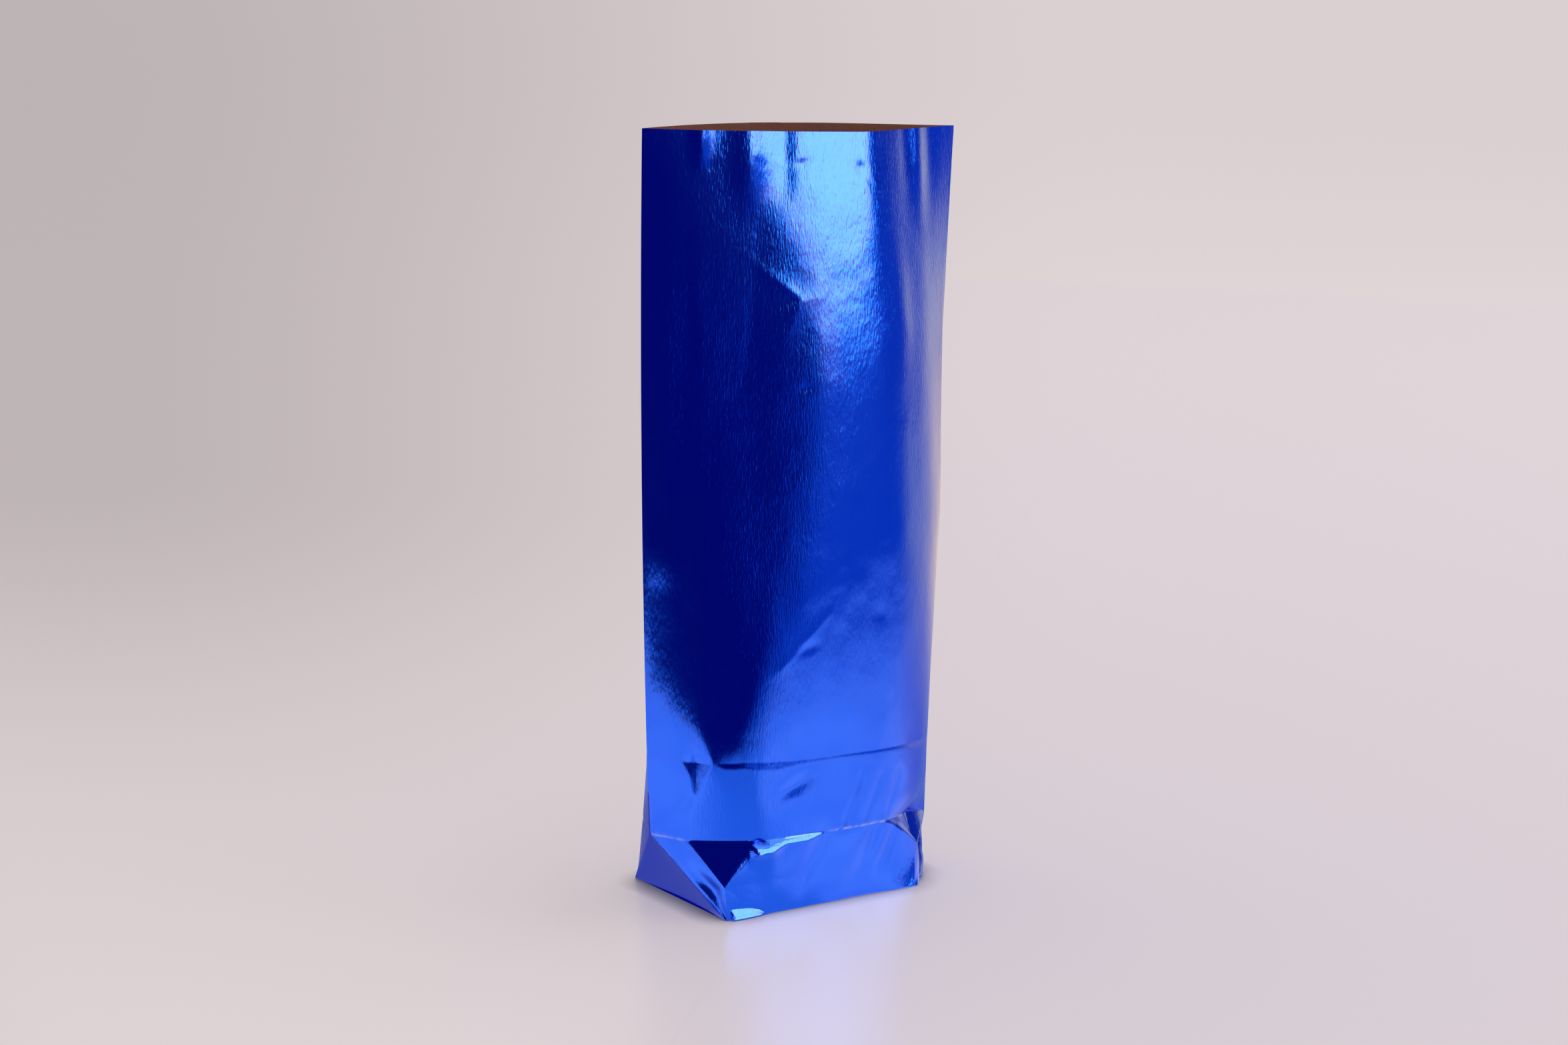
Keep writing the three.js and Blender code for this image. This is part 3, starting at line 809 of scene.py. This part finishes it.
def cards():
    # Painted reflections: these cards light nothing and show only in the foil, as the studio's dark parts, a
    # softbox's highlight and its walls.
    curved_card("dark_left", 0.26, (0, 1.2), (0.0, 0.01, 0.14), (-140, -36), soft=(1, 1, 0.004))
    curved_card(
        "dark_front", 0.28, (0, 1.6), (0.0, 0.005, 0.145),
        low_ends=(-38, -5), high_ends=(-38, 18), lean=(0.06, 0.15), soft=(1, 7, 0.03),
    )
    curved_card(
        "softbox", 1.2, (0.07, 1.6), (7.2, 4.6, 3.0),
        low_ends=(7, 28), high_ends=(10, 58), lean=(0.16, 0.27), soft=(6, 8, 0.15),
    )
    curved_card("wall_front", 1.3, (0, 1.8), (0.03, 0.14, 0.45), (-20, 96), soft=(4, 18, 0.01))
    curved_card("wall_right", 1.32, (0, 0.3), (0.36, 0.28, 0.48), (74, 106), soft=(4, 8, 0.01))
    curved_card(
        "wall_side", 1.31, (0, 0.3), (1.1, 0.88, 0.55),
        low_ends=(92, 120), high_ends=(86, 120), lean=(0.02, 0.18), soft=(15, 12, 0.01),
    )
    curved_card("wall_behind", 1.36, (0, 0.3), (0.5, 0.47, 0.54), (100, 150), soft=(1, 12, 0.01))
    curved_card("dark_above", 1.25, (0.24, 1.8), (0.01, 0.06, 0.3), (62, 150), soft=(4, 4, 0.05))


def backdrop():
    world = bpy.data.worlds.new("studio")
    world.use_nodes = True
    sky = world.node_tree.nodes["Background"]
    sky.inputs["Color"].default_value = (*BACKDROP, 1)
    ray = world.node_tree.nodes.new("ShaderNodeLightPath")
    dimmer = world.node_tree.nodes.new("ShaderNodeMapRange")
    dimmer.inputs["To Min"].default_value = BACKDROP_SEEN
    dimmer.inputs["To Max"].default_value = BACKDROP_REFLECTED
    world.node_tree.links.new(ray.outputs["Is Glossy Ray"], dimmer.inputs["Value"])
    world.node_tree.links.new(dimmer.outputs[0], sky.inputs["Strength"])
    bpy.context.scene.world = world


def floor_glow(n, place):
    """The floor as the foil reflects it, a painted reflection: mostly near-white close by, and darker
    further off.
    """
    behind = n.dot(place, BEHIND)
    aside = n.math("ABSOLUTE", n.dot(place, ASIDE))
    shade = n.math("MULTIPLY", n.spread(behind, -0.012, 0.008, 0, 1), n.spread(aside, 0.04, 0.055, 1, 0))
    length = n.add("VectorMath", {"operation": "LENGTH"})
    n.put(length.inputs[0], place)
    distance = length.outputs["Value"]
    to_right = n.spread(n.math("DIVIDE", n.dot(place, FAR_RIGHT), distance), 0.2, 0.8, 0, 1)
    to_left = n.spread(n.math("DIVIDE", n.dot(place, NEAR_LEFT), distance), 0.80, 0.97, 0, 1)
    sooner = n.math("ADD", n.math("MULTIPLY", to_left, 0.75), 1.0)
    far_off = n.spread(n.math("MULTIPLY", distance, sooner), 0.11, 0.5, 0, 1)
    patches = n.add("TexNoise", Vector=place, Scale=26.0, Detail=1.5).outputs["Fac"]
    bright = n.mixed(n.spread(patches, 0.4, 0.62, 0, 1), *PATCHES)
    near = n.mixed(to_right, bright, CLOSE_RIGHT)
    near = n.mixed(to_left, near, CLOSE_LEFT)
    far = n.mixed(to_right, DISTANT, DISTANT_RIGHT)
    far = n.mixed(to_left, far, DISTANT_LEFT)
    # Painted shade: the bag's own shadow lies behind it.
    return n.mixed(shade, n.mixed(far_off, near, far), SHADED)


def floor_paper(n, place):
    """The floor as the camera sees it, with painted light: paler towards the right, the front and the far
    end.
    """
    ahead = n.math("ADD", n.dot(place, CAMERA_AHEAD), CAMERA_AWAY)
    slant = n.math("DIVIDE", n.dot(place, CAMERA_RIGHT), ahead)
    # Painted light and shade: the floor's colour is darker to the left and paler towards the front, as
    # uneven light would make it.
    shade_left = n.spread(slant, -0.22, 0.1, 0.61, 0.95)
    front = n.spread(ahead, 0.7, 1.5, 1.0, 0.0)
    painted_light_level = n.add("Mix", {"data_type": "FLOAT"}, Factor=front, A=shade_left, B=0.96)
    painted_light_colour = n.add("VectorMath", {"operation": "SCALE"}, Scale=painted_light_level.outputs[0])
    n.put(painted_light_colour.inputs[0], FLOOR_COLOUR)
    # Painted contact shadow: ambient occlusion darkens the floor's colour under the bag's edges.
    painted_contact_shadow = n.add("AmbientOcclusion", {"samples": 8}, Color=painted_light_colour.outputs[0], Distance=CONTACT_SHADOW_REACH)
    base = n.add("VectorMath", {"operation": "SCALE"}, Scale=FLOOR_MATT)
    n.put(base.inputs[0], painted_contact_shadow.outputs["Color"])
    # Part of the floor's colour glows: painted light that lightens the bag's shadow on it.
    return n.add(
        "BsdfPrincipled",
        Base_Color=base.outputs[0],
        Roughness=0.36,
        Specular_IOR_Level=0.5,
        Emission_Color=painted_contact_shadow.outputs["Color"],
        Emission_Strength=FLOOR_PAINTED_GLOW,
    )


def floor():
    n = Nodes("floor")
    reflected = n.add("LightPath").outputs["Is Glossy Ray"]
    place = n.add("TexCoord").outputs["Object"]
    lit = n.add("Emission", Color=floor_glow(n, place), Strength=1.0)
    seen = n.add("MixShader", Fac=reflected)
    n.put(seen.inputs[1], floor_paper(n, place).outputs[0])
    n.put(seen.inputs[2], lit.outputs[0])
    n.put(n.output.inputs["Surface"], seen.outputs[0])
    bpy.ops.mesh.primitive_plane_add(size=FLOOR_SIZE, location=(0, 0, 0))
    plane = bpy.context.object
    plane.name = "floor"
    plane.data.materials.append(n.material)


def overhead_light():
    data = bpy.data.lights.new("overhead", "AREA")
    data.shape = "DISK"
    data.size = OVERHEAD_SIZE
    data.energy = OVERHEAD_WATTS
    top = bpy.data.objects.new("overhead", data)
    top.location = OVERHEAD_PLACE
    top.rotation_euler = (Vector((0, 0, 0)) - top.location).to_track_quat("-Z", "Y").to_euler()
    bpy.context.collection.objects.link(top)


def studio():
    view = bpy.context.scene.view_settings
    view.view_transform = "Standard"
    view.look = "None"
    backdrop()
    floor()
    cards()
    overhead_light()


# ---------------------------------------------------------------- the bag


def foil_skin(front, back, left, right, base, recess):
    under = base + recess[..., None] * (0, 0, 1)
    sheets = [
        (front, False, worn_paint(front)),
        (back, True, 0.0),
        (left, True, 0.0),
        (right, False, 0.0),
        (under, True, 0.0),
    ]
    skin = sheet_object("bag_foil", sheets, foil_material())
    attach(skin, "root")
    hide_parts("bag")


def kraft_lining(front, back, base):
    """The brown inside: the same walls a little further in, up to the rim, and the base's upper side."""
    inner_front = inside_of(front, -outward(front), FRONT_SHARES)
    inner_back = inside_of(back, outward(back), BACK_SHARES)
    picked = np.unique(np.r_[FOOT_ROWS : len(HEIGHTS) : 2, len(HEIGHTS) - 1])
    sides = picked[picked <= np.searchsorted(HEIGHTS, 1.0)]
    sheets = [
        (inner_front[picked][:, ::2], True, 0.0),
        (inner_back[picked], False, 0.0),
        (side_wall(-1, inner_front, inner_back)[sides], False, 0.0),
        (side_wall(1, inner_front, inner_back)[sides], True, 0.0),
        (base * LINING_FLOOR_SIZE + (0, 0, BASE_THICKNESS), False, 0.0),
    ]
    lining = sheet_object("bag_lining", sheets, kraft_material())
    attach(lining, "root")


def main():
    camera()
    studio()
    front = front_wall()
    back = back_wall()
    left = side_wall(-1, front, back)
    right = side_wall(1, front, back)
    base, recess = base_sheet(front, back, left, right)
    foil_skin(front, back, left, right, base, recess)
    kraft_lining(front, back, base)


main()
